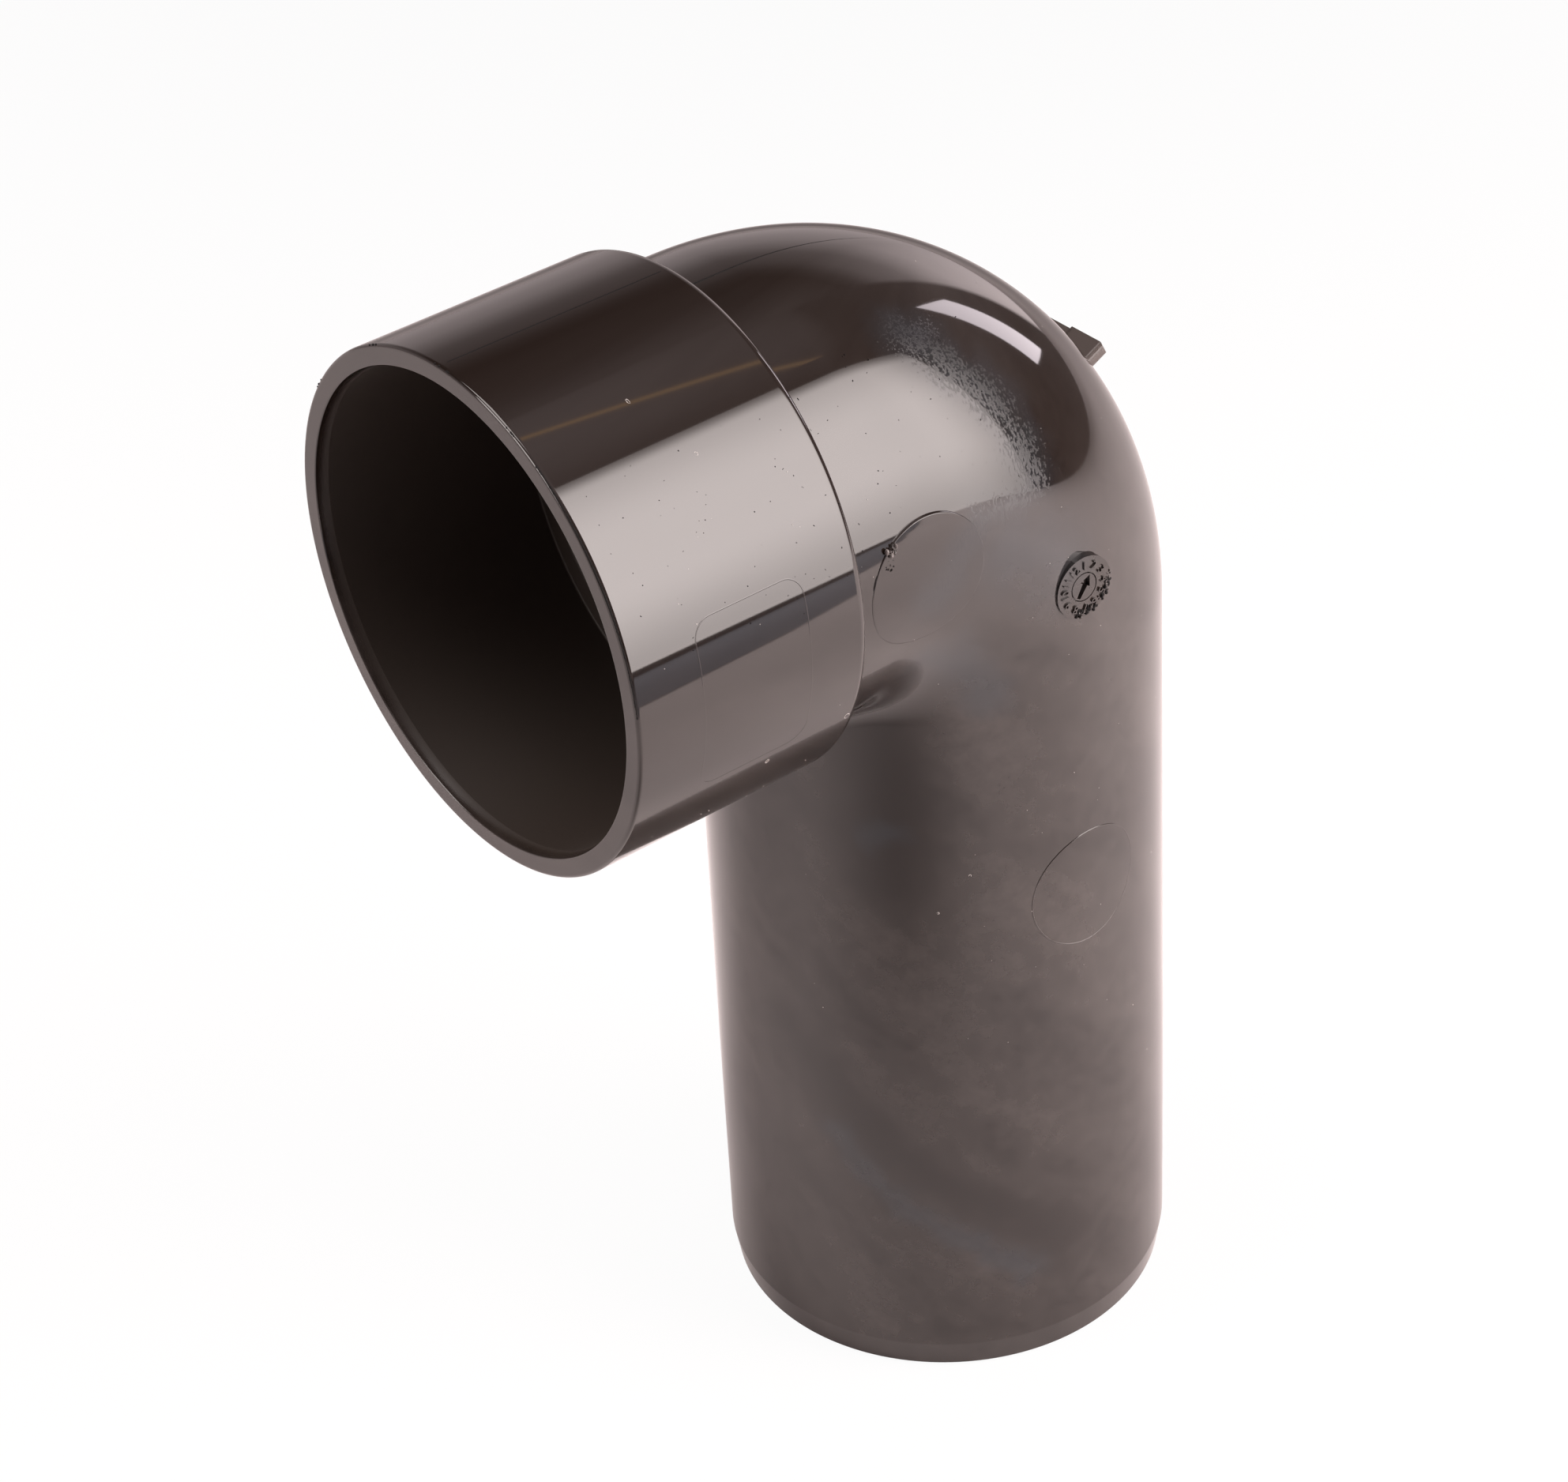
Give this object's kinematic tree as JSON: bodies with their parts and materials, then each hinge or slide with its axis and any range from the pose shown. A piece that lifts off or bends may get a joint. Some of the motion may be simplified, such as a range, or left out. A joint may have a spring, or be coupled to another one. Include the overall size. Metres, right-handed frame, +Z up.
{
  "type": "waste pipe bend",
  "caption": "Moulded black plastic waste pipe bend that turns a right angle, with a long plain spigot and a solvent-weld socket.",
  "frame": {"origin": "centre of the spigot's end face, which the bend stands on", "axes": "+Z up along the spigot's axis, -Y out of the socket's mouth, +X out of the side that carries the date dial; the plane X = 0 is the plane of the bend"},
  "size_m": [0.0472, 0.0704, 0.1182],
  "materials": {
    "moulded_abs": "glossy black moulded ABS"
  },
  "bodies": {
    "root": {"waste_bend": "moulded_abs"}
  },
  "joints": []
}
